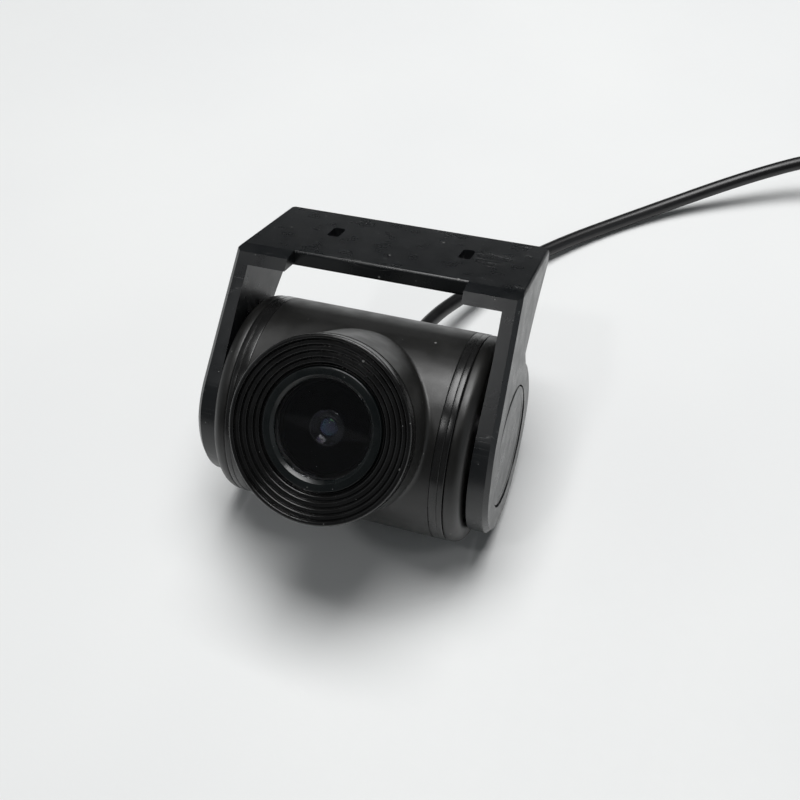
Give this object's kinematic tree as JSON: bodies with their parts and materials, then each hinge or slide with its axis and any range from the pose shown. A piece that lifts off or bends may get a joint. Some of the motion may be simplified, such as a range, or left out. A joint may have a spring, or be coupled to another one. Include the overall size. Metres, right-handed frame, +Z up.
{
  "type": "backup camera",
  "caption": "Drum-shaped reversing camera with a stepped lens bezel, held by friction in a U bracket with slotted plate, on a cable that ends in a round plug.",
  "frame": {"origin": "centre of the footprint of the camera and its bracket, without the cable, on the surface that the drum lies on", "axes": "+Z up from the surface, X along the pivot axis of the bracket, the lens looks towards -Y and up, the cable leaves towards +Y"},
  "size_m": [0.1796, 0.1528, 0.0532],
  "materials": {
    "housing_black": "satin",
    "trim_black": "gloss",
    "bezel_black": "satin",
    "retainer_satin": "satin",
    "bracket_black": "fine matte",
    "seal_rubber": "matte",
    "cable_rubber": "satin",
    "screw_steel": "plated",
    "spring_steel": "plain",
    "brass": "turned",
    "gold_pin": "gold flashed",
    "clear_glass": "polished",
    "coated_glass": "coated",
    "filter_glass": "coated",
    "baffle_black": "dead matte",
    "lens_black": "satin",
    "sensor_dark": "gloss",
    "board_green": "solder mask",
    "chip_black": "satin",
    "socket_white": "satin",
    "core_grey": "matte",
    "tie_black": "satin",
    "plug_black": "satin",
    "insulator_black": "satin"
  },
  "bodies": {
    "camera_head": {"housing": "housing_black", "trim_ring_right": "trim_black", "trim_ring_left": "trim_black", "end_cap_right": "housing_black", "end_cap_left": "housing_black", "end_seals": "seal_rubber", "cap_screws": "screw_steel", "pivot_inserts": "brass", "pivot_screws": "screw_steel", "front_bezel": "bezel_black", "lens_retainer": "retainer_satin", "glass_gasket": "seal_rubber", "cover_glass": "clear_glass", "lens_baffle": "baffle_black", "lens_barrel": "lens_black", "front_element": "coated_glass", "rear_element": "coated_glass", "lens_holder": "lens_black", "infrared_filter": "filter_glass", "image_sensor": "sensor_dark", "sensor_board": "board_green", "main_board": "board_green", "board_chips": "chip_black", "board_spacers": "brass", "board_screws": "screw_steel", "board_socket": "socket_white", "core_plug": "socket_white", "cable_core": "core_grey", "cable_gland": "cable_rubber", "cable": "cable_rubber", "cable_coil": "cable_rubber", "cable_tail": "cable_rubber", "coil_tie": "tie_black", "plug_shell": "plug_black", "plug_insulator": "insulator_black", "plug_pins": "gold_pin", "plug_seal": "seal_rubber"},
    "mount_bracket": {"bracket": "bracket_black", "friction_washers": "spring_steel", "cover_discs": "bracket_black"}
  },
  "joints": [
    {"name": "bracket_tilt", "type": "hinge", "parent": "camera_head", "child": "mount_bracket", "pos_m": [0, -0.00187, 0.0206], "axis": [1, 0, 0], "range_deg": [-36, 28]}
  ]
}
